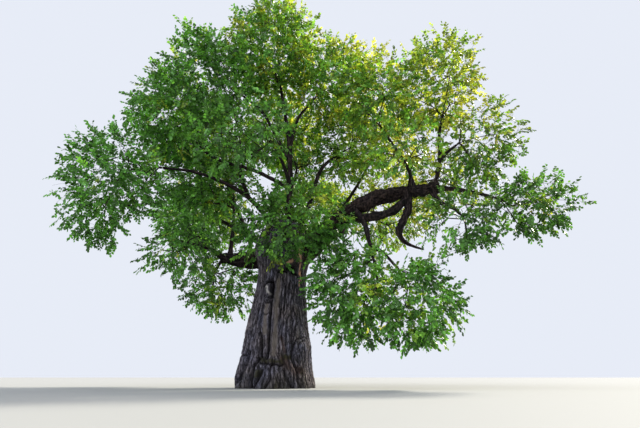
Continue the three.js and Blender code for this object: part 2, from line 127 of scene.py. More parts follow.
# Name before _leaves, limb that carries it, middle, half sizes outward, across and up, and how
# full of sprays it is.
MASSES = [
    ("top", "leader", (-340, 0, 11200), (1750, 2300, 1600), 0.86),
    ("top_right", "leader_right", (1740, 100, 9950), (1460, 2150, 1360), 0.81),
    ("top_left", "leader_left", (-2600, -900, 9480), (1590, 2300, 1350), 0.78),
    ("left_high", "left_high", (-3390, -800, 8160), (1440, 2250, 1300), 0.8),
    ("left_tip", "left_diagonal", (-4600, -1850, 5420), (1500, 1600, 1600), 0.85),
    ("left_front", "left_front", (-850, -2900, 6550), (1200, 1550, 1100), 0.42),
    ("centre", "centre", (520, 1250, 7750), (950, 950, 1050), 0.9),
    ("left_inner", "left_stub_shoot", (-2500, 900, 6600), (1550, 1500, 1350), 0.9),
    ("left_low", "left_low", (-2780, -600, 3850), (1230, 1350, 1050), 0.56),
    ("left_weeping", "left_weeping", (-1850, 800, 3050), (1250, 1300, 1050), 0.64),
    ("right_tip", "right_far", (7450, -1000, 5150), (1550, 1400, 950), 0.8),
    ("right_front", "right_front", (3750, -2050, 6650), (1300, 850, 800), 0.5),
    ("right_hanging", "right_low", (5250, -1900, 4350), (1150, 1000, 1050), 0.55),
    ("right_top", "right_up", (5020, -950, 9280), (1450, 2150, 1520), 0.56),
    ("right_side", "right_side", (6300, -850, 7250), (1220, 1750, 1320), 0.48),
    ("right_back", "right_back", (5350, 1300, 6900), (1400, 1400, 1150), 0.7),
    ("right_inner", "right_inner", (3070, -900, 8900), (1200, 2000, 1250), 0.67),
    ("middle", "right_upright", (2300, 1350, 8200), (1350, 1450, 1400), 0.9),
    ("right_weeping", "right_weeping", (2150, -1900, 2450), (1200, 1250, 1450), 1.0),
    ("right_weeping_tip", "right_weeping_tip", (3700, -2200, 2140), (1300, 1250, 1250), 0.85),
    ("front", "front_spur", (550, -1950, 4250), (1050, 1850, 1200), 0.85),
    ("back_left", "back_left", (-3500, 3800, 6300), (1800, 1900, 1450), 0.9),
    ("back_left_high", "back_left_high", (-2900, 2600, 9000), (1600, 1700, 1400), 0.9),
    ("back_middle", "back_middle", (950, 4900, 6900), (1800, 1900, 1500), 0.9),
    ("back_high", "back_high", (-400, 3000, 9500), (1600, 1700, 1450), 0.9),
    ("back_right", "back_right", (3900, 3500, 6400), (1800, 1850, 1450), 0.75),
    ("back_right_high", "back_right_high", (3700, 3000, 9200), (1550, 1700, 1450), 0.75),
]
MAIN_TWIGS = 6
MAIN_TWIG_REACH = 0.56
PATH_WEIGHT = 0.35
TURN_STEP = 1.7  # radians that the spiral of main twigs turns from one mass to the next

# Fine growth, in metres.
FINE_PATH_WEIGHT = 0.12
SPRAYS_PER_CUBIC_METRE = 58.0
SPRAY_REACH = 0.90  # share of a mass's half sizes at which the last twigs end
SPRAY_SHELL = 0.27  # the lower, the more of the sprays are near the outside of a mass
REACHING = {"left_tip": 1.10}  # masses whose twigs reach further out
LOBES_PER_REACH = 1.7  # how fine the lobes of a mass are
LOBE_DEPTH = 0.17  # how far they stand out
LOBE_SEED = 77
# Share of the sprays kept where the sun shines through.
THINNED = {"back_right": 0.60, "back_right_high": 0.62, "middle": 0.75, "right_back": 0.75}
CLUMPS_PER_METRE = 1.5  # how fine the clumps of sprays are
CLUMP_PULL = 0.10  # how far they are pulled together
CLUMP_STEP = 0.2  # over which their slope is measured
CLUMP_SEED = 53
EVEN_STEP = 1.22074408460575947536  # root of x^4 = x + 1, which spreads points evenly
FIRST_POINTS = 37  # points that each mass leaves out more than the one before
SPRAY_LENGTH = (0.24, 0.44)
LEAVES_PER_SPRAY = 11
LEAF_LENGTH = (0.078, 0.116)
LEAF_WIDTH = 0.72
LEAF_LEAN = (62, 16)  # degrees from the twig, and by how much that varies
LEAN_LOST = 18  # degrees less at the end of a spray
LAST_LEAF_LEAN = 15
LEAF_DROOP = 0.55
LEAF_STRAY = 0.22
NORMAL_STRAY = 0.45
SPRAY_TONE = 0.30  # how much the tone varies from spray to spray
LEAF_TONE = 0.40  # and from leaf to leaf
SPRAY_TWIG_RADIUS = 0.003
THICK_TWIG = 0.011  # twigs above this radius are bent and have five sides
DROOP = 0.10  # how much sprays hang
LOW_DROOP = 0.22  # how much more at the foot of a mass
CLEAR_OF_BARK = 0.20
CLEAR_OF_GROUND = 0.08
OWN_REACH = 1.02  # share of a mass's half sizes within which sprays start
BOX_MARGIN = 0.06  # how far leaves may stand out of the solids' box

# Places in the crown with no sprays, as middle and half sizes: the torn wood shows in the
# first, and sky in the others.
OPENINGS = [
    ((0.78, -1.9, 3.15), (0.42, 1.6, 0.5)), ((-3.85, -1.3, 4.42), (0.7, 1.8, 0.5)),
    ((6.6, -1.2, 4.38), (0.6, 1.9, 0.6)), ((-4.55, -0.9, 11.1), (1.05, 2.8, 0.95)),
    ((-5.2, -0.9, 9.5), (0.9, 2.6, 0.7)), ((6.05, -0.9, 8.4), (0.5, 2.5, 0.42)),
    ((-3.95, -2.8, 10.15), (0.95, 1.3, 0.85)), ((-4.55, -2.8, 8.5), (0.8, 1.3, 0.62)),
    ((8.9, -1.0, 6.0), (1.1, 2.4, 0.62)), ((-3.3, -0.6, 3.25), (0.4, 1.6, 0.28)),
    ((-3.45, -2.3, 9.95), (0.55, 1.6, 0.48)),
]

# Where the light comes from: behind the elm, to the right.
SUN = np.array([0.62, 0.50, 0.60]) / norm([0.62, 0.50, 0.60])
SHADE_CELL = 0.4  # size of the cells in which sprays are counted
SHADE_STEPS = 24  # cells that are passed on the way to the sun
SHADE_SPRAYS = 14.0  # this many sprays between a spray and the sun take two thirds of its light

# Sprays are ranked from deep green to gold, from painted shade to painted sunlight, by how far
# along this way through the crown they are. The others add to that rank, or take off it where
# they say deeper, and LIT_SPOTS paints scattered gold glints of sunlight.
CROWN_MIDDLE = np.array([0.9, 0.3, 7.0])
CROWN_REACH = np.array([8.5, 5.0, 5.5])
LIT_WAY = np.array([0.50, 0.40, 0.16])
LIT_BY_CHANCE = 0.34
LIT_BY_SUN = 1.1
LIT_IN_PATCHES = 0.30
LIT_UPPER_RIGHT = 0.36
LIT_SPOTS = 5.0
LOW_RIGHT_DEEPER = 0.85
LOW_DEEPER = 0.36
BACK_DEEPER = 0.50

# Share by which leaves are painted darker at the right, as painted shade, and more so low down
# there, darker over the fork, as painted shade, and lighter at the left, as painted light.
RIGHT_DARKER = 0.12
LOW_RIGHT_DARKER = 0.24
FORK_DARKER = 0.20
LEFT_LIGHTER = 0.14


def unit(v):
    """These vectors at length one."""
    v = np.asarray(v, float)
    return v / np.maximum(norm(v, axis=-1, keepdims=True), 1e-12)


def hashed(x, y, z, seed):
    """A number from 0 to 1 for each corner of a lattice."""
    x, y, z = (np.asarray(a).astype(np.int64).astype(np.uint32) for a in (x, y, z))
    h = x * np.uint32(374761393) + y * np.uint32(668265263) + z * np.uint32(2147483647)
    h += np.uint32(seed) * np.uint32(3266489917)
    h = (h ^ (h >> np.uint32(13))) * np.uint32(1274126177)
    h ^= h >> np.uint32(16)
    return h.astype(float) / 4294967295.0


def noise(x, y, z, seed=0, wrap=None):
    """Smooth noise from -1 to 1. With wrap, x repeats after that many lattice steps."""
    x, y, z = np.broadcast_arrays(*(np.asarray(a, float) for a in (x, y, z)))
    xi, yi, zi = np.floor(x), np.floor(y), np.floor(z)
    u, v, w = (f * f * f * (f * (f * 6 - 15) + 10) for f in (x - xi, y - yi, z - zi))
    total = 0.0
    for i in (0, 1):
        cx = xi + i
        if wrap:
            cx = np.mod(cx, wrap)
        for j in (0, 1):
            for k in (0, 1):
                weight = (u if i else 1 - u) * (v if j else 1 - v) * (w if k else 1 - w)
                total = total + weight * hashed(cx, yi + j, zi + k, seed)
    return total * 2 - 1


def bump(x, middle, half):
    """A smooth hill, one at the middle and falling away over the half width."""
    return np.exp(-((x - middle) / half) ** 2)


def rise(x, start, width):
    """From zero at the start to one a width further on, or further back if it is negative."""
    return np.clip((x - start) / width, 0, 1)


def guide_for(heading, steep=0.8):
    """Up, or east where a heading is steeper than that."""
    return np.where(np.abs(heading[..., 2:3]) < steep, UP, EAST)


def square_to(ways, vectors):
    """These vectors turned square to the ways, at length one."""
    return unit(vectors - ways * np.sum(vectors * ways, axis=1, keepdims=True))


def turn_between(a, b):
    """Degrees between two compass angles, from 0 to 180."""
    turn = np.abs(a - b) % 360
    return np.minimum(turn, 360 - turn)


class Batch:
    """Vertices and faces gathered for one joined mesh."""

    def __init__(self):
        self.places, self.faces, self.count, self.marks = [], [], 0, {}

    def add(self, places, faces, **marks):
        places = np.asarray(places, float).reshape(-1, 3)
        self.places.append(places)
        self.faces.append(np.asarray(faces, int) + self.count)
        self.count += len(places)
        for name, values in marks.items():
            self.marks.setdefault(name, []).append(np.asarray(values, float).reshape(-1))


def put(name, data):
    """An object of this data, in the scene."""
    made = bpy.data.objects.new(name, data)
    bpy.context.scene.collection.objects.link(made)
    return made


def make_piece(name, batch, material):
    """One mesh object of all that a batch has gathered."""
    mesh = bpy.data.meshes.new(name)
    places = np.concatenate(batch.places)
    sizes = np.concatenate([np.full(len(f), f.shape[1]) for f in batch.faces])
    corners = np.concatenate([f.reshape(-1) for f in batch.faces])
    starts = np.concatenate([[0], np.cumsum(sizes)[:-1]])
    mesh.vertices.add(len(places))
    mesh.vertices.foreach_set("co", places.astype(np.float32).reshape(-1))
    mesh.loops.add(len(corners))
    mesh.loops.foreach_set("vertex_index", corners.astype(np.int32))
    mesh.polygons.add(len(sizes))
    mesh.polygons.foreach_set("loop_start", starts.astype(np.int32))
    mesh.polygons.foreach_set("use_smooth", np.full(len(sizes), True))
    for mark, values in batch.marks.items():
        layer = mesh.attributes.new(mark, "FLOAT", "POINT")
        layer.data.foreach_set("value", np.concatenate(values).astype(np.float32))
    mesh.update(calc_edges=True)
    mesh.validate()
    mesh.materials.append(material)
    piece = put(name, mesh)
    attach(piece, "root")
    return piece


# Limbs.

def curve_at(points, shares):
    """Places on a Catmull-Rom curve, at these shares of it."""
    p = np.array(points, float)
    spans = len(p) - 1
    ends = np.vstack([2 * p[0] - p[1], p, 2 * p[-1] - p[-2]])
    t = np.clip(np.atleast_1d(shares), 0, 1) * spans
    i = np.minimum(t.astype(int), spans - 1)
    w = (t - i)[:, None]
    p0, p1, p2, p3 = ends[i], ends[i + 1], ends[i + 2], ends[i + 3]
    return (p1 * (1 + 2 * w) * (1 - w) ** 2 + (p2 - p0) / 2 * w * (1 - w) ** 2
            + p2 * w * w * (3 - 2 * w) + (p3 - p1) / 2 * w * w * (w - 1))


def grow_limbs():
    """Each limb by name: its curve's points, its radii, its tip and its heading there."""
    grown = {}
    for name, start, passed, base, end in LIMBS:
        if isinstance(start[0], str):
            start = curve_at(grown[start[0]].points, start[1])[0]
        else:
            start = np.array(start) * MM
        points = np.vstack([start, np.array(passed) * MM])
        last = curve_at(points, [1 - 1e-4, 1])
        grown[name] = SimpleNamespace(points=points, base=base * MM, end=end * MM,
                                      tip=last[1], heading=unit(last[1] - last[0]))
    return grown


def radius_along(limb, share):
    return limb.end + (limb.base - limb.end) * (1 - share) ** TAPER_POWER


def ring_frames(middles):
    """Across and side at each middle, carried along without twisting."""
    heading = unit(np.gradient(middles, axis=0))
    across = np.zeros_like(heading)
    last = np.cross(heading[0], guide_for(heading[0], 0.9))
    for i, way in enumerate(heading):
        last = unit(last - way * np.dot(last, way))
        across[i] = last
    return across, np.cross(heading, across)


def ring_faces(rings, sides):
    """Quads between rings of as many corners each."""
    a = np.arange(rings - 1)[:, None] * sides + np.arange(sides)
    b = np.arange(rings - 1)[:, None] * sides + (np.arange(sides) + 1) % sides
    return np.stack([a, b, b + sides, a + sides], -1).reshape(-1, 4)


def bark_relief(along, turn, girth, seed):
    """Ridges of the bark over a limb, from 0 in a furrow to 1."""
    lines = max(4, round(girth / FURROW_GAP))
    around = np.array([np.cos(turn), np.sin(turn)]) * girth / 2.2
    sets = []
    for k in (0, 1):
        sway = 1.3 * noise(along * 1.7, *around, seed + 10 * k)
        sway = sway + 0.7 * noise(along * 5.5, *(3 * around), seed + 10 * k + 1)
        sets.append(np.abs(np.sin(turn * lines / 2 + k + 2 * sway)))
    ridge = np.clip(1.7 * np.minimum(*sets), 0, 1) ** 0.8
    cracks = np.clip(2.4 * noise(along * 9, *(4 * around), seed + 2) - 0.9, 0, 1)
    return ridge * (1 - 0.5 * cracks)


# How knotty these limbs are, as a share of the radius, and the knots on them, as (share
# along, turn in degrees, size in metres, height in radii).
GNARLS = {
    "right_limb": (0.2, [
        (0.22, 200, 0.3, 0.22), (0.34, 90, 0.34, 0.3), (0.46, 240, 0.3, 0.26), (0.55, 60, 0.26, 0.34),
        (0.64, 300, 0.28, 0.36), (0.71, 120, 0.26, 0.38), (0.77, 210, 0.22, 0.34), (0.84, 20, 0.26, 0.42),
        (0.9, 140, 0.24, 0.4), (0.96, 260, 0.24, 0.34), (0.99, 60, 0.3, 0.4),
    ]),
    "right_limb_strand": (0.24, [(0.25, 150, 0.2, 0.34), (0.45, 290, 0.22, 0.36), (0.7, 60, 0.22, 0.32)]),
    "hook_upper": (0.2, [(0.25, 90, 0.18, 0.38), (0.5, 200, 0.14, 0.3), (0.8, 300, 0.14, 0.28)]),
    "hook_lower": (0.16, [(0.15, 180, 0.14, 0.3), (0.4, 60, 0.1, 0.26)]),
    "left_stub": (0.18, [
        (0.35, 60, 0.24, 0.24), (0.6, 250, 0.24, 0.28), (0.85, 330, 0.24, 0.34), (0.97, 120, 0.24, 0.4),
    ]),
    "right_low": (0.14, [(0.3, 100, 0.12, 0.35), (0.6, 250, 0.1, 0.3)]),
    "right_weeping": (0.14, [(0.3, 100, 0.14, 0.3), (0.6, 300, 0.12, 0.3)]),
}


def limb_mesh(batch, name, limb, number):
    """Bark-covered tube of one limb, swollen where it leaves its parent and narrowed towards its open tip.
    """
    ring_gap, sides = (0.030, 44) if limb.base >= THICK_LIMB else (0.055, 14)
    shares = np.linspace(0, 1, 400)
    dense = curve_at(limb.points, shares)
    run = np.concatenate([[0], np.cumsum(norm(np.diff(dense, axis=0), axis=1))])
    rings = max(10, int(run[-1] / ring_gap))
    along = np.linspace(0, run[-1], rings)
    share = np.interp(along, run, shares)
    middles = curve_at(limb.points, share)
    across, side = ring_frames(middles)
    gnarl, knots = GNARLS.get(name, (0.07, []))
    bend = noise(along[:, None] * 1.1, number + np.arange(2) * 7.3, 0, 30) * 0.35 * limb.end
    bend = bend * rise(np.minimum(along, run[-1] - along), 0, 0.6)[:, None]
    middles = middles + across * bend[:, :1] + side * bend[:, 1:]
    along = along[:, None]
    radius = radius_along(limb, share)[:, None]
    turn = np.arange(sides)[None, :] * 2 * np.pi / sides
    around = np.array([np.sin(turn), np.cos(turn)])
    swell = 0.0
    for weight, up, round_it, seed in ((1.0, 2.4, 1.1, 40), (0.8, 6, 2, 70), (0.6, 15, 4, 90)):
        swell = swell + weight * gnarl * noise(along * up, *(round_it * around), seed + number)
    for at, angle, size, height in knots:
        beside = turn_between(np.degrees(turn), angle) * np.pi / 180 * radius
        away = ((along - at * run[-1]) ** 2 + beside ** 2) / (size / 2) ** 2
        swell = swell + height * np.exp(-away)
    collar = 0.45 * np.exp(-along / (2.5 * limb.base))
    ridge = bark_relief(along, turn + 0 * along, 2 * np.pi * limb.base, 100 + 30 * number)
    depth = np.minimum(0.046, 0.24 * radius)
    out = radius * (1 + swell + collar) + depth * (ridge - 0.75)
    out = out * np.sqrt(np.clip((run[-1] - along) / (0.5 * radius), 0.12, 1))
    places = middles[:, None] + across[:, None] * (out * np.cos(turn))[..., None]
    places = places + side[:, None] * (out * np.sin(turn))[..., None]
    # Painted shade in the bark's furrows.
    batch.add(places, ring_faces(rings, sides), furrow=1 - ridge)


# The trunk.

def trunk_lean(height):
    """How far to the right the trunk's middle is at these heights."""
    return LEAN[2] * rise(height, LEAN[0], LEAN[1] - LEAN[0])


def trunk_radius(angle, height):
    """The plain form of the trunk: its outline, root buttresses and ribs, in metres."""
    levels, radii = np.array(TRUNK_OUTLINE).T * MM
    radius = np.interp(height, levels, radii)
    for root_angle, reach, half in ROOTS:
        away = turn_between(angle, root_angle) / half
        radius = radius + reach * MM * np.exp(-away ** 2 - height / (ROOT_RISE * MM))
    return radius + FLUTE_DEPTH * MM * np.cos(np.radians(FLUTES * angle))


TRUNK_COLUMNS = 420
TRUNK_ROWS = 190
FURROW_PAIRS = 45  # furrows round the trunk in each of the two sets that weave together
FURROW_DEPTH = 0.038
BARK_REACH = 0.86  # metres from the middle at which distances along the bark are measured

# Clefts in the bark: the places passed, as (compass angle, height), half width, depth and
# darkness, the darkness being painted shade. Shallow ones just under the pale lip and under the
# moss cushions are mostly painted shadow.
CLEFTS = [
    ([(253.2, 2.5), (254.3, 2.62), (254.2, 2.78), (251.5, 2.92)], 0.076, 0.34, 1.0),
    ([(228.5, 2.8), (235, 2.88), (243, 2.93), (250, 2.94)], 0.032, 0.09, 0.95),
    ([(233, 2.74), (237, 2.6), (243, 2.49), (250, 2.46)], 0.02, 0.05, 0.6),
    ([(259.6, 2.45), (257, 2.4), (253.8, 2.35), (251.4, 2.31)], 0.022, 0.06, 0.85),
    ([(243.8, 2.32), (247, 2.28), (251.4, 2.31)], 0.018, 0.04, 0.8),
    ([(244.4, 2.01), (250, 1.97), (256.2, 2.01)], 0.022, 0.05, 0.7),
    ([(257.8, 2.49), (258.6, 2.28), (260.1, 2.07), (260.6, 1.89), (262.3, 1.55), (263.0, 1.39),
      (262.4, 1.05), (262, 0.76)], 0.034, 0.11, 0.9),
    ([(241, 2.2), (240.5, 1.8), (243.5, 1.45)], 0.026, 0.07, 0.6),
    ([(246.4, 1.44), (248.3, 1.25), (248.8, 1.01), (250.4, 0.82)], 0.042, 0.17, 1.0),
    ([(223.5, 0.92), (223.8, 0.63), (217.9, 0.43), (209.3, 0.16), (205, 0)], 0.06, 0.2, 1.0),
    ([(199.9, 0.88), (211, 0.86), (221.9, 0.88)], 0.02, 0.06, 0.8),
    ([(246, 0.74), (240.1, 0.56), (238.1, 0.36), (236.9, 0.2), (236, 0)], 0.06, 0.18, 1.0),
    ([(251, 0.67), (257, 0.63), (263, 0.62)], 0.022, 0.06, 0.9),
    ([(264, 0.63), (269, 0.58), (275, 0.61), (281, 0.57), (286, 0.62)], 0.022, 0.06, 0.9),
    ([(256, 0.5), (253.5, 0.38), (251, 0.2), (246, 0)], 0.032, 0.08, 0.8),
    ([(270, 0.58), (267, 0.44), (268.5, 0.26), (263, 0)], 0.026, 0.07, 0.8),
    ([(279, 0.3), (282, 0.16), (281, 0)], 0.022, 0.05, 0.6),
    ([(287, 0.46), (288.5, 0.36), (293, 0.2), (299, 0)], 0.032, 0.07, 0.75),
    ([(301.8, 1.25), (302.2, 0.97), (301, 0.8), (307, 0.4), (313, 0)], 0.034, 0.09, 0.75),
    ([(304, 1.0), (305.3, 1.14), (311.4, 1.3), (326.5, 1.35), (345, 1.33)], 0.022, 0.05, 0.8),
    ([(312, 1.08), (313.6, 1.16), (318.6, 1.24), (328, 1.26)], 0.018, 0.04, 0.7),
    ([(264, 3.19), (268, 3.22), (274, 3.18), (281.7, 3.22), (288, 3.2)], 0.034, 0.07, 1.0),
    ([(288, 3.31), (297, 3.35), (306, 3.31)], 0.095, 0.16, 1.0),
    ([(300, 3.2), (308, 3.17), (315, 3.14)], 0.055, 0.1, 1.0),
    ([(287, 2.8), (287.6, 2.45), (286.5, 2.1)], 0.024, 0.07, 0.85),
    ([(279.5, 2.55), (280.2, 2.2), (279, 1.85)], 0.02, 0.05, 0.7),
    ([(301, 2.1), (303, 1.7), (301.5, 1.3)], 0.026, 0.07, 0.6),
    ([(281, 1.9), (283, 1.6), (284, 1.3)], 0.022, 0.05, 0.5),
    ([(230, 3.3), (227, 2.6), (229, 1.9), (226, 1.2)], 0.026, 0.06, 0.5),
    ([(38, 2.6), (41, 1.8), (37, 0.9), (40, 0)], 0.045, 0.11, 0.8),
    ([(88, 3.2), (84, 2.2), (87, 1.0), (85, 0)], 0.04, 0.1, 0.7),
    ([(131, 2.6), (127, 1.6), (131, 0.7), (130, 0)], 0.045, 0.12, 0.8),
    ([(176, 3.1), (178, 2.2), (174, 1.2), (177, 0)], 0.035, 0.09, 0.7),
]

# Lumps on the bark: compass angle, height, half width, half height and rise.
LUMPS = [
    (327, 1.1, 0.28, 0.28, 0.1), (350, 1.2, 0.3, 0.34, 0.06), (205, 0.45, 0.16, 0.6, 0.05),
    (229, 0.38, 0.13, 0.5, 0.09), (249, 0.61, 0.12, 0.08, 0.085), (247, 0.4, 0.1, 0.22, 0.11),
    (255, 0.74, 0.12, 0.06, 0.07), (274.5, 0.7, 0.17, 0.07, 0.08), (293, 0.82, 0.1, 0.06, 0.045),
    (257, 0.2, 0.12, 0.24, 0.05), (275, 0.2, 0.13, 0.26, 0.055), (299, 0.48, 0.15, 0.22, 0.08),
    (262, 0.42, 0.12, 0.12, 0.05), (280, 0.46, 0.1, 0.1, 0.045), (245, 2.41, 0.1, 0.07, 0.055),
    (250, 2.12, 0.09, 0.1, 0.035), (266, 3.28, 0.14, 0.09, 0.055), (281, 3.28, 0.14, 0.08, 0.06),
    (22, 1.6, 0.22, 0.26, 0.06), (97, 1.05, 0.26, 0.3, 0.08), (152, 1.95, 0.2, 0.26, 0.06),
    (60, 2.9, 0.22, 0.2, 0.06), (240, 3.55, 0.24, 0.22, 0.05), (285, 3.75, 0.26, 0.16, 0.06),
    (315, 3.85, 0.22, 0.3, 0.07), (262, 4.05, 0.25, 0.22, 0.07), (200, 3.9, 0.25, 0.3, 0.06),
    (120, 3.8, 0.3, 0.3, 0.07), (20, 3.9, 0.3, 0.3, 0.07),
]

# Bark that is gone: what shows, the places passed and half width. The wood is below the
# hollow and the pale lip beside it, the torn wood is under the right bough, and the rot is at
# the foot. The torn wood's colour is lightened as painted sunlight, and the pale lip's as painted
# light against the shade of the cleft.
BARE = [
    ("wood", [(268.5, 2.95), (269.8, 2.68), (268.2, 2.5), (270.8, 2.38), (269, 2.15), (270.7, 1.89),
              (272.6, 1.56), (272.2, 1.3), (270.8, 1.04), (270.6, 0.88)], 0.072),
    ("wood", [(249, 2.24), (250.5, 1.86), (254.8, 1.45)], 0.07),
    ("pale", [(230, 2.8), (236, 2.8), (241, 2.79), (240.8, 2.7), (244, 2.62), (248, 2.57)], 0.034),
    ("torn", [(286, 3.5), (295, 3.53)], 0.055),
    ("torn", [(318.6, 3.47), (322.4, 3.31), (324.5, 3.22)], 0.06),
    ("torn", [(325.5, 3.25), (333, 3.18), (334, 3.07)], 0.06),
    ("torn", [(325.1, 3.0), (324.7, 2.86)], 0.05),
    ("torn", [(312, 3.58), (306, 3.78), (312, 4.0)], 0.09),
    ("rot", [(286, 0.76), (292, 0.6), (302, 0.48), (314, 0.46)], 0.13),
    ("rot", [(283, 1.36), (286.5, 1.13), (289.7, 0.96)], 0.045),
]

# Cushions of moss on the ledges of the foot.
MOSS = [
    [(249.5, 0.76), (260.3, 0.71)], [(267.4, 0.7), (281.4, 0.69)], [(289.6, 0.83), (297.2, 0.81)],
    [(251.4, 0.44), (249, 0.32)],
]


def stroke(angle, height, path, half):
    """One along a path over the bark, falling away beside it."""
    path = np.array(path, float)
    scale = np.array([math.radians(1) * BARK_REACH, 1.0])
    place = np.stack([(angle - path[0][0] + 180) % 360 - 180, height], -1) * scale
    line = (path - [path[0][0], 0]) * scale
    nearest = np.full(angle.shape, np.inf)
    for a, b in zip(line[:-1], line[1:]):
        way = b - a
        share = np.clip(((place - a) @ way) / (way @ way), 0, 1)
        nearest = np.minimum(nearest, norm(place - a - share[..., None] * way, axis=-1))
    return np.exp(-(nearest / half) ** 2)


def furrow_set(uneven, step, seed):
    """One set of upright furrows that sway: zero in each furrow, one between them."""
    sway = 1.7 * uneven(11, 0.8, seed) + 1.0 * uneven(32, 2.6, seed + 1) + 0.35 * uneven(84, 8.0, seed + 2)
    return np.abs(np.sin(np.pi * FURROW_PAIRS * step + 1.5 * sway))


def trunk_mesh(batch):
    """The furrowed trunk, with its hollow, its clefts, its lumps and its mossy foot."""
    head = TRUNK_OUTLINE[-1][0] * MM
    height = np.linspace(0, head, TRUNK_ROWS)[:, None] + np.zeros((1, TRUNK_COLUMNS))
    angle = (np.arange(TRUNK_COLUMNS) * 360 / TRUNK_COLUMNS)[None, :] + 0 * height
    radius = trunk_radius(angle, height)
    step = angle / 360
    low = np.exp(-height / 0.45)

    def uneven(steps_round, steps_up, seed):
        """Noise over the bark, of so many steps round the trunk and so many to a metre."""
        return noise(step * steps_round, height * steps_up, 0, seed, wrap=steps_round)

    radius = radius + 0.026 * uneven(20, 0.45, 5) + 0.018 * uneven(44, 1.2, 6)
    radius = radius + 0.030 * low * uneven(40, 4, 12)

    # A path wanders a little from its straight lines.
    wander = angle + 1.2 * uneven(60, 3.1, 51)
    climb = height + 0.02 * uneven(60, 5.3, 52)
    knot = np.zeros_like(radius)
    for at, up, half, half_up, proud in LUMPS:
        across = turn_between(wander, at) * math.radians(1) * BARK_REACH / half
        lump = np.exp(-across ** 2 - ((climb - up) / half_up) ** 2)
        radius = radius + proud * lump
        knot = np.maximum(knot, lump)
    shown = {what: np.zeros_like(radius) for what in ("wood", "pale", "torn", "rot")}
    for what, path, half in BARE:
        shown[what] = np.maximum(shown[what], stroke(wander, climb, path, half))
    for what, mask in shown.items():
        shown[what] = np.clip(1.5 * mask - 0.25, 0, 1)
    bare = np.clip(shown["wood"] + shown["pale"] + shown["torn"], 0, 1)

    # Furrows that weave up the trunk, with cross cracks, and plates between them.
    first, second = furrow_set(uneven, step, 1), furrow_set(uneven, step, 61)
    ridge = np.clip(1.55 * np.minimum(first, second), 0, 1) ** 0.85
    cracks = np.clip(2.6 * uneven(96, 8.5, 4) - 1.0, 0, 1)
    ridge = ridge * (1 - 0.5 * cracks)
    depth = FURROW_DEPTH * (1 + 0.35 * uneven(16, 0.8, 8)) * (1 - 0.45 * knot)
    flakes, grain = uneven(210, 16, 7), uneven(150, 1.5, 9)
    radius = radius + depth * (1 - 0.8 * bare) * (ridge - 0.72) + 0.009 * flakes
    radius = radius + bare * (0.006 * grain - 0.020)
    # Painted shade in the furrows, less where the wood is bare, and in the clefts by their darkness.
    furrow = (1 - ridge) * (1 - 0.75 * bare)
    for path, half, deep, dark in CLEFTS:
        cut = stroke(wander, climb, path, half)
        radius = radius - deep * cut
        furrow = np.maximum(furrow, 1.25 * dark * cut)

    moss = 1.1 * low + 0.5 * uneven(26, 3.0, 17) - 0.45
    for path in MOSS:
        cushion = 1.5 * stroke(wander, climb, path, 0.07) - 0.1
        moss = np.maximum(moss, cushion + 0.3 * uneven(80, 9, 18))
    marks = {"furrow": furrow, "moss": np.clip(moss, 0, 1), **shown}
    turn = np.radians(angle)
    places = np.stack([trunk_lean(height) + radius * np.cos(turn), radius * np.sin(turn), height], -1)
    places = np.vstack([places.reshape(-1, 3), [[LEAN[2], 0, head + 0.02]]])
    batch.add(places, ring_faces(TRUNK_ROWS, TRUNK_COLUMNS),
              **{name: np.append(values.reshape(-1), 0) for name, values in marks.items()})
    rim = batch.count - 1 - TRUNK_COLUMNS + np.arange(TRUNK_COLUMNS)
    batch.faces.append(np.stack([rim, np.roll(rim, -1), np.full(TRUNK_COLUMNS, batch.count - 1)], -1))


# Masses: main twigs by the source's rule, then the same rule carried to finer twigs.

def mass_rows():
    """Each mass with its middle, its axes and its half sizes, in metres."""
    rows = []
    for number, (name, on, middle, half, fill) in enumerate(MASSES):
        middle = np.array(middle) * MM
        outward = unit(np.array([middle[0], middle[1], 0.0]))
        axes = np.array([outward, np.cross(UP, outward), UP])
        half = np.array(half) * MM
        rows.append(SimpleNamespace(name=name, on=on, middle=middle, axes=axes, half=half, fill=fill,
                                    number=number))
    return rows


def share_out(mass, places):
    """How far places are from a mass's middle, as a share of its half sizes."""
    away = (np.atleast_2d(places) - mass.middle) @ mass.axes.T
    return norm(away / mass.half, axis=1)


def in_own_space(masses, mass, places):
    """Whether places are inside a mass, and not nearer to another one."""
    own = share_out(mass, places)
    others = [share_out(other, places) for other in masses if other is not mass]
    return (own <= OWN_REACH) & (np.min(others, axis=0) > own)


def main_twig_places(mass, foot):
    """Ends of the main twigs: a spiral round the mass that starts straight away from the stem."""
    pole = unit(mass.middle - foot)
    east = unit(np.cross(guide_for(pole, 0.9), pole))
    north = np.cross(pole, east)
    k = np.arange(MAIN_TWIGS)
    along = 1 - 2 * k / MAIN_TWIGS
    out = np.sqrt(1 - along ** 2)
    turn = np.pi * (3 - np.sqrt(5)) * k + mass.number * TURN_STEP
    ways = (along[:, None] * pole + (out * np.cos(turn))[:, None] * east
            + (out * np.sin(turn))[:, None] * north)
    return mass.middle + (ways @ mass.axes.T * mass.half * MAIN_TWIG_REACH) @ mass.axes


def gather(places):
    """Places pulled together into clumps, with gaps between them."""
    at = places * CLUMPS_PER_METRE
    steps = CLUMP_STEP * np.eye(3)
    slope = [noise(*(at + step).T, CLUMP_SEED) - noise(*(at - step).T, CLUMP_SEED) for step in steps]
    return places + CLUMP_PULL * np.stack(slope, -1) / (2 * CLUMP_STEP)


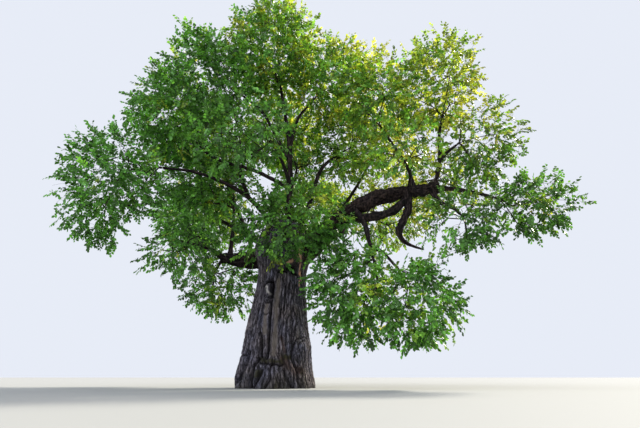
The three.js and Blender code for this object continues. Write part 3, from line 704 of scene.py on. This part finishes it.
def fine_places(masses, mass, wood):
    """Places where the last twigs of a mass end, spread evenly through its own space."""
    volume = 4 / 3 * np.pi * np.prod(mass.half)
    count = int(volume * SPRAYS_PER_CUBIC_METRE * mass.fill * THINNED.get(mass.name, 1))
    n = np.arange(1, count + 1)[:, None] + FIRST_POINTS * mass.number
    u = (0.5 + n * np.array([1 / EVEN_STEP, 1 / EVEN_STEP ** 2, 1 / EVEN_STEP ** 3])) % 1
    level = 2 * u[:, 1] - 1
    round_it = np.sqrt(1 - level ** 2)
    turn = 2 * np.pi * u[:, 2]
    ways = np.stack([round_it * np.cos(turn), round_it * np.sin(turn), level], -1)
    lobes = noise(*(LOBES_PER_REACH * ways + mass.middle).T, LOBE_SEED)
    reach = SPRAY_REACH * REACHING.get(mass.name, 1)
    out = reach * (1 + LOBE_DEPTH * lobes) * u[:, 0] ** SPRAY_SHELL
    places = gather(mass.middle + (ways * out[:, None] * mass.half) @ mass.axes)
    places = places[in_own_space(masses, mass, places)]
    return places[clear_of(wood, places)]


def wood_balls(limbs):
    """Middles and radii of balls that cover the trunk and the limbs."""
    levels = np.arange(0, 4.9, 0.25)
    plain = np.interp(levels, *(np.array(TRUNK_OUTLINE).T * MM))
    balls = [(np.stack([trunk_lean(levels), 0 * levels, levels], -1), plain)]
    for limb in limbs.values():
        share = np.linspace(0, 1, 60)
        balls.append((curve_at(limb.points, share), radius_along(limb, share)))
    return np.vstack([b[0] for b in balls]), np.concatenate([b[1] for b in balls])


def clear_of(wood, places):
    """Whether places are clear of all bark, and outside the openings."""
    middles, radii = wood
    away = norm(places[:, None] - middles[None], axis=2) - radii
    clear = away.min(axis=1) > CLEAR_OF_BARK
    for middle, half in OPENINGS:
        clear &= norm((places - np.array(middle)) / np.array(half), axis=1) > 1
    return clear


def join_twigs(foot, heading, lead, groups, weights):
    """Joins each place, nearest to the stem first, to the twig that gives the shortest way."""
    total = 2 + sum(len(g) for g in groups)
    place = np.zeros((total, 3))
    parent = np.zeros(total, int)
    path = np.zeros(total)
    place[0], place[1] = foot, foot + heading * lead
    parent[0], path[1] = -1, lead
    made = 2
    for group, weight in zip(groups, weights):
        order = np.argsort(norm(group - foot, axis=1), kind="stable")
        for target in group[order]:
            cost = norm(place[1:made] - target, axis=1) + weight * path[1:made]
            best = 1 + int(np.argmin(cost))
            place[made], parent[made] = target, best
            path[made] = path[best] + norm(target - place[best])
            made += 1
    beyond = np.ones(total)
    for i in range(total - 1, 0, -1):
        beyond[parent[i]] += beyond[i]
    return place, parent, beyond


def twig_tubes(batch, start, start_way, end, end_way, radius_a, radius_b, sides, spans):
    """Bent, tapering tubes for many twigs at once."""
    t = np.linspace(0, 1, spans + 1)[None, :, None]
    reach = norm(end - start, axis=1)[:, None, None]
    h = [(1 + 2 * t) * (1 - t) ** 2, t * (1 - t) ** 2, t * t * (3 - 2 * t), t * t * (t - 1)]
    middles = (h[0] * start[:, None] + h[1] * reach * start_way[:, None]
               + h[2] * end[:, None] + h[3] * reach * end_way[:, None])
    heading = unit(np.gradient(middles, axis=1))
    across = unit(np.cross(heading, guide_for(heading)))
    side = np.cross(heading, across)
    radius = radius_a[:, None, None] * (1 - t) + radius_b[:, None, None] * t
    turn = np.arange(sides) * 2 * np.pi / sides
    places = (middles[:, :, None] + radius[..., None] * across[:, :, None] * np.cos(turn)[:, None]
              + radius[..., None] * side[:, :, None] * np.sin(turn)[:, None])
    offset = np.arange(len(start))[:, None, None] * (spans + 1) * sides
    batch.add(places, (ring_faces(spans + 1, sides)[None] + offset).reshape(-1, 4))


def twig_cones(batch, start, tip, radius):
    """Thin three-sided twigs that end in a point, for many sprays at once."""
    heading = unit(tip - start)
    across = unit(np.cross(heading, guide_for(heading)))
    side = np.cross(heading, across)
    turn = np.arange(3) * 2 * np.pi / 3
    ring = across[:, None] * np.cos(turn)[:, None] + side[:, None] * np.sin(turn)[:, None]
    places = np.concatenate([start[:, None] + radius * ring, tip[:, None]], axis=1)
    faces = np.array([[0, 1, 3], [1, 2, 3], [2, 0, 3]])
    batch.add(places, (faces[None] + 4 * np.arange(len(start))[:, None, None]).reshape(-1, 3))


# Corners of one leaf as (along, across, height), in shares of its length and width. One side
# starts lower than the other, as on an elm.
LEAF_CORNERS = np.array([
    [0, 0, 0], [0.3, 0.42, 0.07], [0.68, 0.42, 0.04], [1, 0, -0.08], [0.64, -0.46, 0.04],
    [0.24, -0.36, 0.07],
])
LEAF_FACES = np.array([[0, 3, 2], [0, 2, 1], [0, 5, 4], [0, 4, 3]])


def add_leaves(batch, roots, ways, normals, lengths, tones):
    """Leaves for many roots at once."""
    normals = square_to(ways, normals)
    across = np.cross(normals, ways)
    size = lengths[:, None]
    places = np.stack([roots + size * (c[0] * ways + LEAF_WIDTH * c[1] * across + c[2] * normals)
                       for c in LEAF_CORNERS], axis=1)
    offset = len(LEAF_CORNERS) * np.arange(len(places))[:, None, None]
    tones = np.repeat(tones, len(LEAF_CORNERS))
    # The tone mark holds each leaf's random tone with painted shade and painted light multiplied in.
    batch.add(places, (LEAF_FACES[None] + offset).reshape(-1, 3), tone=tones)


def grow_mass(masses, mass, limb, wood, rng, twigs):
    """The twigs of one mass, and its sprays as arrays of starts, ways and outward ways."""
    foot = limb.tip
    mains = main_twig_places(mass, foot)
    fine = fine_places(masses, mass, wood)
    place, parent, beyond = join_twigs(foot, limb.heading, 2 * limb.end, [mains, fine],
                                       [PATH_WEIGHT, FINE_PATH_WEIGHT])
    radius = limb.end * np.sqrt(beyond / beyond[0])
    run = np.vstack([limb.heading, unit(place[1:] - place[parent[1:]])])
    start_way = unit(0.8 * run[parent] + run)
    thick = radius > THICK_TWIG
    for picked, sides, spans in ((thick, 5, 3), (~thick, 3, 1)):
        c = 1 + np.flatnonzero(picked[1:])
        o = parent[c]
        start_radius = np.minimum(radius[o], 1.25 * radius[c])
        twig_tubes(twigs, place[o], start_way[c], place[c], run[c], start_radius, radius[c], sides, spans)
    starts = place[2:]
    outward = unit((starts - mass.middle) @ mass.axes.T / mass.half) @ mass.axes
    stray = rng.normal(size=starts.shape)
    droop = DROOP + LOW_DROOP * rise(starts[:, 2], mass.middle[2], -mass.half[2])
    ways = unit(0.50 * run[2:] + 0.70 * outward + 0.55 * stray - droop[:, None] * UP)
    return starts, ways, outward


def sunlight(places):
    """How much of the sun reaches each spray past the others, from 0 to 1."""
    corner = places.min(axis=0) - 1.0
    shape = tuple(np.ceil((places.max(axis=0) + 1.0 - corner) / SHADE_CELL).astype(int))
    cell = ((places - corner) / SHADE_CELL).astype(int)
    crowd = np.bincount(np.ravel_multi_index(cell.T, shape), minlength=int(np.prod(shape))).reshape(shape)
    passed = np.zeros(len(places))
    for step in range(1, SHADE_STEPS):
        spot = ((places + SUN * SHADE_CELL * step - corner) / SHADE_CELL).astype(int)
        held = np.all((spot >= 0) & (spot < shape), axis=1)
        passed[held] += crowd[tuple(spot[held].T)]
    return np.exp(-passed / SHADE_SPRAYS)


def dress_sprays(starts, ways, outward, length, rng):
    """Leaves of every spray: their roots, ways, normals, lengths and tones."""
    shape = (len(starts), LEAVES_PER_SPRAY)
    flat = unit(outward * np.array([1.0, 1.0, 0.35]) + 1e-9)
    normal = unit(0.72 * UP + 0.55 * flat + 0.42 * rng.normal(size=starts.shape))
    normal = square_to(ways, normal)
    side = np.cross(normal, ways)
    leaf = np.arange(LEAVES_PER_SPRAY)
    t = (leaf + 0.8) / LEAVES_PER_SPRAY
    last = leaf == LEAVES_PER_SPRAY - 1
    t[last] = 1.0
    hand = np.where(leaf % 2, 1.0, -1.0)
    hand[last] = 1.0
    roots = starts[:, None] + ways[:, None] * (t[None] * length[:, None])[..., None]
    lean = np.radians(rng.normal(*LEAF_LEAN, shape) - LEAN_LOST * t)
    lean = np.where(last, np.radians(rng.normal(0, LAST_LEAF_LEAN, shape)), lean)
    leaf_ways = (np.cos(lean)[..., None] * ways[:, None] + (hand * np.sin(lean))[..., None] * side[:, None]
                 - UP * rng.uniform(0.0, LEAF_DROOP, shape)[..., None]
                 + LEAF_STRAY * rng.normal(size=(*shape, 3)))
    leaf_normals = normal[:, None] + NORMAL_STRAY * rng.normal(size=(*shape, 3))
    larger_midway = 0.82 + 0.26 * np.sin(np.pi * (0.15 + 0.7 * t))
    size = rng.uniform(*LEAF_LENGTH, shape) * larger_midway
    tone = rng.normal(0, SPRAY_TONE, (len(starts), 1)) + rng.normal(0, LEAF_TONE, shape)
    tone = np.exp(np.clip(tone - 0.08, -1.3, 0.85)) - 1
    return roots, unit(leaf_ways), leaf_normals, size, tone


# Leaf colours as painted shade and painted sunlight, from the shaded side of the crown to the
# sunlit one: base colour, the colour that shines through, and the share of the sprays that have
# them.
SHADE_TO_SUN_TINTS = [
    ("deep", (0.068, 0.172, 0.034), (0.095, 0.275, 0.022), 0.18),
    ("cool", (0.096, 0.238, 0.046), (0.15, 0.4, 0.03), 0.21),
    ("mid", (0.108, 0.236, 0.04), (0.192, 0.44, 0.028), 0.21),
    ("fresh", (0.126, 0.234, 0.036), (0.28, 0.48, 0.028), 0.18),
    ("lime", (0.148, 0.246, 0.036), (0.48, 0.59, 0.034), 0.13),
    ("gold", (0.172, 0.246, 0.04), (0.72, 0.735, 0.05), 0.09),
]
THROUGH = 0.42  # share of the light on a leaf that may pass through it
NODE_SPACING = 220  # how far apart shader nodes are laid out


def join(tree, value, socket):
    if isinstance(value, bpy.types.Node):
        value = value.outputs[0]
    if isinstance(value, bpy.types.NodeSocket):
        tree.links.new(value, socket)
    else:
        socket.default_value = value


def node(tree, kind, traits=None, **sockets):
    """A shader node with these traits. A socket is linked to an output, or to the first output
    of a node, or set to a value."""
    made = tree.nodes.new("ShaderNode" + kind)
    made.location.x = NODE_SPACING * len(tree.nodes)
    for name, value in (traits or {}).items():
        setattr(made, name, value)
    for name, value in sockets.items():
        join(tree, value, made.inputs[name.replace("_", " ")])
    return made


def maths(tree, operation, first, second=0.0, clamp=False):
    """What a sum makes of an output and a number."""
    made = node(tree, "Math", {"operation": operation, "use_clamp": clamp})
    join(tree, first, made.inputs[0])
    join(tree, second, made.inputs[1])
    return made


def mark_on(tree, name):
    """The mark of this name on the mesh."""
    return node(tree, "Attribute", {"attribute_name": name}).outputs["Fac"]


def mottling(tree, where, scale, detail, roughness=0.5):
    """Noise over the surface, from 0 to 1."""
    return node(tree, "TexNoise", Vector=where, Scale=scale, Detail=detail, Roughness=roughness)


def ramp(tree, level, *stops):
    """The colour that a level has between two stops of (position, colour)."""
    made = node(tree, "ValToRGB", Fac=level)
    for element, (position, colour) in zip(made.color_ramp.elements, stops):
        element.position = position
        element.color = (*colour, 1)
    return made


def new_material(name):
    """A material with an empty node tree."""
    material = bpy.data.materials.new(name)
    material.use_nodes = True
    material.node_tree.nodes.clear()
    return material, material.node_tree


def leaf_material(name, colour, through):
    """A leaf that lets light through, a little uneven in tone, with faint veins, and darker or lighter by
    the painted shade and painted light in its tone mark.
    """
    material, tree = new_material(name)
    place = node(tree, "TexCoord").outputs["Object"]
    patches = mottling(tree, place, 2.3, 4.0)
    veins = mottling(tree, place, 60.0, 2.0)
    darker, lighter = ([share * c for c in colour] for share in (0.80, 1.22))
    uneven = ramp(tree, patches, (0.32, darker), (0.70, lighter))
    # Random tone, with painted shade and painted light multiplied in.
    tone_and_painted_light = maths(tree, "ADD", mark_on(tree, "tone"), 1.0)
    toned = node(tree, "VectorMath", {"operation": "SCALE"}, Vector=uneven, Scale=tone_and_painted_light)
    shone = node(tree, "VectorMath", {"operation": "SCALE"}, Vector=through, Scale=tone_and_painted_light)
    relief = node(tree, "Bump", Strength=0.25, Distance=0.003, Height=veins)
    front = node(tree, "BsdfPrincipled", Base_Color=toned, Normal=relief, Roughness=0.32,
                 Specular_IOR_Level=0.36)
    back = node(tree, "BsdfTranslucent", Color=shone)
    mix = node(tree, "MixShader", Fac=THROUGH)
    join(tree, front, mix.inputs[1])
    join(tree, back, mix.inputs[2])
    node(tree, "OutputMaterial", Surface=mix)
    return material


# What shows on the bark, in the order that they cover one another: mark, colour, strength. The
# furrow mark is painted shade, and the pale and torn colours are partly painted light.
MARKS = [
    ("rot", (0.05, 0.028, 0.022), 0.75), ("wood", (0.132, 0.108, 0.092), 0.8),
    # Pale and torn wood: their own colours, lightened as painted light.
    ("pale", (0.43, 0.4, 0.39), 1.0), ("torn", (0.64, 0.36, 0.24), 1.0),
    ("moss", (0.026, 0.024, 0.008), 0.85), ("furrow", (0.006, 0.005, 0.006), 0.96),
]


def bark_material(name, ridge, marks, darkest=0.30, lightest=1.75):
    """Grey-brown bark: streaked ridges, a net of fine dark cracks, and what is marked on it."""
    material, tree = new_material(name)
    place = node(tree, "TexCoord").outputs["Object"]
    upright = node(tree, "Mapping", Vector=place, Scale=(1.0, 1.0, 0.30))
    streaks = mottling(tree, upright, 17.0, 9.0, 0.62)
    blotches = mottling(tree, place, 1.6, 5.0)
    net = mottling(tree, upright, 13.0, 3.0, 0.60)
    dark, light = ([share * c for c in ridge] for share in (darkest, lightest))
    colour = ramp(tree, streaks, (0.34, dark), (0.66, light))
    cast = ramp(tree, blotches, (0.35, (0.78, 0.82, 0.96)), (0.66, (1.14, 1.02, 0.88)))
    seam = maths(tree, "ABSOLUTE", maths(tree, "SUBTRACT", net, 0.5))
    crack = ramp(tree, seam, (0.0, (0.14, 0.13, 0.14)), (0.045, (1, 1, 1)))
    for other in (cast, crack):
        colour = node(tree, "Mix", {"data_type": "RGBA", "blend_type": "MULTIPLY"},
                      Factor=1.0, A=colour, B=other).outputs["Result"]
    for mark, shade, strength in marks:
        level = maths(tree, "MULTIPLY", mark_on(tree, mark), strength, clamp=True)
        colour = node(tree, "Mix", {"data_type": "RGBA"}, Factor=level, A=colour,
                      B=(*shade, 1)).outputs["Result"]
    fine = node(tree, "Bump", Strength=0.6, Distance=0.012, Height=streaks)
    deep = node(tree, "Bump", Strength=0.6, Distance=0.015, Height=crack, Normal=fine)
    front = node(tree, "BsdfPrincipled", Base_Color=colour, Normal=deep, Roughness=0.85,
                 Specular_IOR_Level=0.12)
    node(tree, "OutputMaterial", Surface=front)
    return material


def lit_ranks(starts, rng):
    """Rank of each spray from the most shaded, 0, to the most sunlit, 1."""
    x, y, z = starts.T
    lit = ((starts - CROWN_MIDDLE) / CROWN_REACH) @ LIT_WAY + LIT_BY_CHANCE * rng.normal(size=len(starts))
    lit = lit + LIT_BY_SUN * (sunlight(starts) - 0.5)
    lit = lit + LIT_IN_PATCHES * noise(*(0.9 * starts).T, 31)
    lit = lit + LIT_UPPER_RIGHT * bump(x, 3.8, 2.4) * bump(z, 8.3, 2.6)
    lit = lit - LOW_RIGHT_DEEPER * rise(x, 4.8, 1.6) * rise(z, 8.4, -1.6)
    lit = lit - LOW_DEEPER * rise(z, 6.5, -2) - BACK_DEEPER * rise(y, 2.4, 2)
    lit = lit + LIT_SPOTS * np.clip(noise(*(1.7 * starts).T, 33) - 0.52, 0, 0.25)
    return np.argsort(np.argsort(lit)) / len(lit)


def painted_light_and_shade(starts):
    """What the colours of each spray are multiplied by: painted shade at the right and over the fork, and
    painted light at the left.
    """
    x, _, z = starts.T
    fork = bump(x, 0.3, 1.7) * bump(z, 4.8, 1.5)
    right = rise(x, 4.2, 1.6) * (RIGHT_DARKER + LOW_RIGHT_DARKER * rise(z, 8.8, -1.6))
    return 1 + LEFT_LIGHTER * rise(x, -2.2, -1.6) - FORK_DARKER * fork - right


def build_elm():
    limbs = grow_limbs()
    masses = mass_rows()
    wood = wood_balls(limbs)
    bark = bark_material("bark", (0.118, 0.110, 0.132), MARKS)
    # The boughs' bark: the bark as a much darker copy, as painted shade, with near-black painted shade in
    # its furrows.
    bough_marks = [("furrow", (0.001, 0.001, 0.002), 1.0)]
    shaded_bough_bark = bark_material("shaded_bough_bark", (0.022, 0.016, 0.0155), bough_marks, 0.12, 2.7)
    twig_bark = bark_material("twig_bark", (0.030, 0.024, 0.021), [])

    batch = Batch()
    trunk_mesh(batch)
    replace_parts(make_piece("trunk_bark", batch, bark), "trunk")

    batch = Batch()
    for number, (name, limb) in enumerate(limbs.items()):
        limb_mesh(batch, name, limb, number)
    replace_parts(make_piece("shaded_bough_bark", batch, shaded_bough_bark), *limbs)

    rng = np.random.default_rng(20)
    twigs = Batch()
    grown = [grow_mass(masses, mass, limbs[mass.on], wood, rng, twigs) for mass in masses]
    starts, ways, outward = (np.concatenate(a) for a in zip(*grown))
    length = rng.uniform(*SPRAY_LENGTH, len(starts))

    # Sprays that would leave the solids' box or touch the ground are left out.
    low = np.maximum(np.array(cad_box[0]) - BOX_MARGIN, [-np.inf, -np.inf, CLEAR_OF_GROUND])
    tips = starts + ways * (length + LEAF_LENGTH[1])[:, None]
    inside = np.all((tips > low) & (tips < np.array(cad_box[1]) + BOX_MARGIN), axis=1)
    starts, ways, outward, length = (a[inside] for a in (starts, ways, outward, length))
    fine = Batch()
    twig_cones(fine, starts, starts + ways * length[:, None], SPRAY_TWIG_RADIUS)
    roots, leaf_ways, normals, sizes, tones = dress_sprays(starts, ways, outward, length, rng)
    # Painted shade at the right and over the fork, painted light at the left.
    tones = (1 + tones) * painted_light_and_shade(starts)[:, None] - 1
    names = [f"{mass.name}_leaves" for mass in masses]
    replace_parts(make_piece("twigs", twigs, twig_bark), *names)
    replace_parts(make_piece("spray_twigs", fine, twig_bark), *names)

    # Painted shade and sunlight: each spray takes the tint of its rank, deep green in shade to gold in the
    # sun.
    rank = lit_ranks(starts, rng)
    edges = np.cumsum([0] + [tint[3] for tint in SHADE_TO_SUN_TINTS])
    edges[-1] = np.inf
    for (tint, colour, through, _), first, last in zip(SHADE_TO_SUN_TINTS, edges[:-1], edges[1:]):
        picked = (rank >= first) & (rank < last)
        batch = Batch()
        flat = [a[picked].reshape(-1, 3) for a in (roots, leaf_ways, normals)]
        add_leaves(batch, *flat, sizes[picked].reshape(-1), tones[picked].reshape(-1))
        material = leaf_material(f"leaf_{tint}", colour, through)
        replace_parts(make_piece(f"leaves_{tint}", batch, material), *names)


EYE = (1.28, -15.0, 0.33)
TILT = 18  # degrees that the camera looks up
LENS = 28.01  # millimetres, for a sensor 36 wide

# Soft lamps: name, way towards the lamp, energy, width in degrees, colour.
LAMPS = [
    ("sun", tuple(SUN), 7.4, 8, (1.0, 0.94, 0.8)),
    ("fill", (-0.5, -0.7, 0.5), 2.8, 110, (0.88, 0.94, 1.0)),
]


def build_stage():
    mesh = bpy.data.meshes.new("floor")
    mesh.from_pydata([(-90, -90, 0), (90, -90, 0), (90, 90, 0), (-90, 90, 0)], [], [(0, 1, 2, 3)])
    material, tree = new_material("floor")
    shader = node(tree, "BsdfPrincipled", Base_Color=(0.27, 0.27, 0.265, 1), Roughness=0.9)
    node(tree, "OutputMaterial", Surface=shader)
    mesh.materials.append(material)
    put("floor", mesh)

    world = bpy.data.worlds.new("sky")
    world.use_nodes = True
    back = world.node_tree.nodes["Background"]
    back.inputs["Color"].default_value = (0.80, 0.84, 0.93, 1)
    back.inputs["Strength"].default_value = 1.0
    bpy.context.scene.world = world

    for name, way, energy, width, colour in LAMPS:
        lamp = bpy.data.lights.new(name, "SUN")
        lamp.energy = energy
        lamp.angle = math.radians(width)
        lamp.color = colour
        put(name, lamp).rotation_euler = Vector(way).to_track_quat("Z", "Y").to_euler()

    lens = bpy.data.cameras.new("camera")
    lens.lens = LENS
    lens.clip_end = 500
    camera = put("camera", lens)
    camera.location = EYE
    camera.rotation_euler = (math.radians(90 + TILT), 0, 0)
    bpy.context.scene.camera = camera
    bpy.context.scene.view_settings.view_transform = "Standard"


build_elm()
build_stage()
